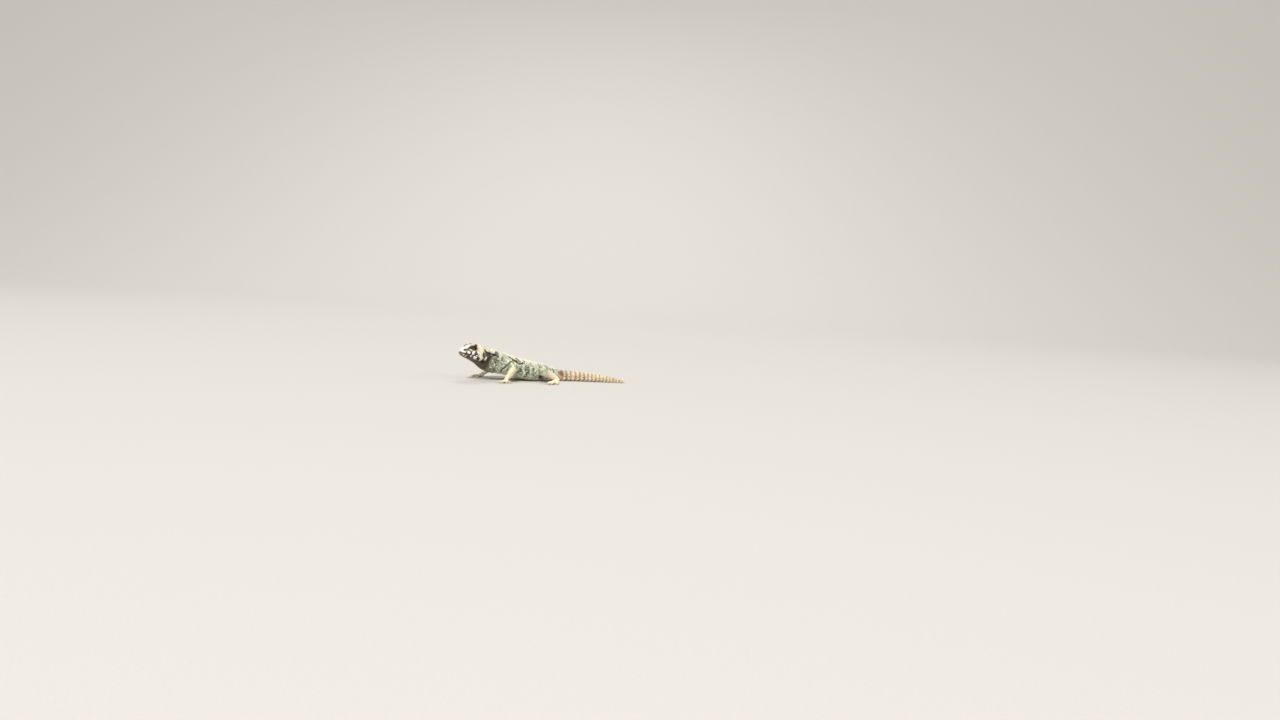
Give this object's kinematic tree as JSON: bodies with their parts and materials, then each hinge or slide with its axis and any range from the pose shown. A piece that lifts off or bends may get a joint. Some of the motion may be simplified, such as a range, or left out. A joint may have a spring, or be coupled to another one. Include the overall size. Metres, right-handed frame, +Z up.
{
  "type": "uromastyx lizard",
  "caption": "Life-size model of a spiny-tailed lizard at rest, chest raised on its forelegs, with a whorled spiny tail laid out behind it.",
  "frame": {"origin": "on the ground under the middle of the belly, at the flat that the belly rests on", "axes": "+Z up, the head towards -X and the tail towards +X, the animal's left side towards -Y"},
  "size_m": [0.2588, 0.1513, 0.0529],
  "materials": {
    "skin_head": "matt scaled skin, pale with dark olive lines",
    "skin_body": "matt scaled skin, sage green with cream spots and a dark olive net",
    "skin_limb": "matt scaled skin, pale yellow-green to cream",
    "skin_tail": "matt spiny whorls, tan to pale yellow",
    "eye": "wet gloss, dark brown",
    "eardrum": "thin smooth skin",
    "claw": "horn, satin"
  },
  "bodies": {
    "root": {"head": "skin_head", "jaw": "skin_head", "eye_left": "eye", "eye_right": "eye", "ear_left": "eardrum", "ear_right": "eardrum", "neck": "skin_body", "torso": "skin_body", "tail": "skin_tail", "upper_arm_left": "skin_limb", "forearm_left": "skin_limb", "hand_left": "skin_limb", "thigh_left": "skin_limb", "shank_left": "skin_limb", "foot_left": "skin_limb", "upper_arm_right": "skin_limb", "forearm_right": "skin_limb", "hand_right": "skin_limb", "thigh_right": "skin_limb", "shank_right": "skin_limb", "foot_right": "skin_limb"}
  },
  "joints": []
}
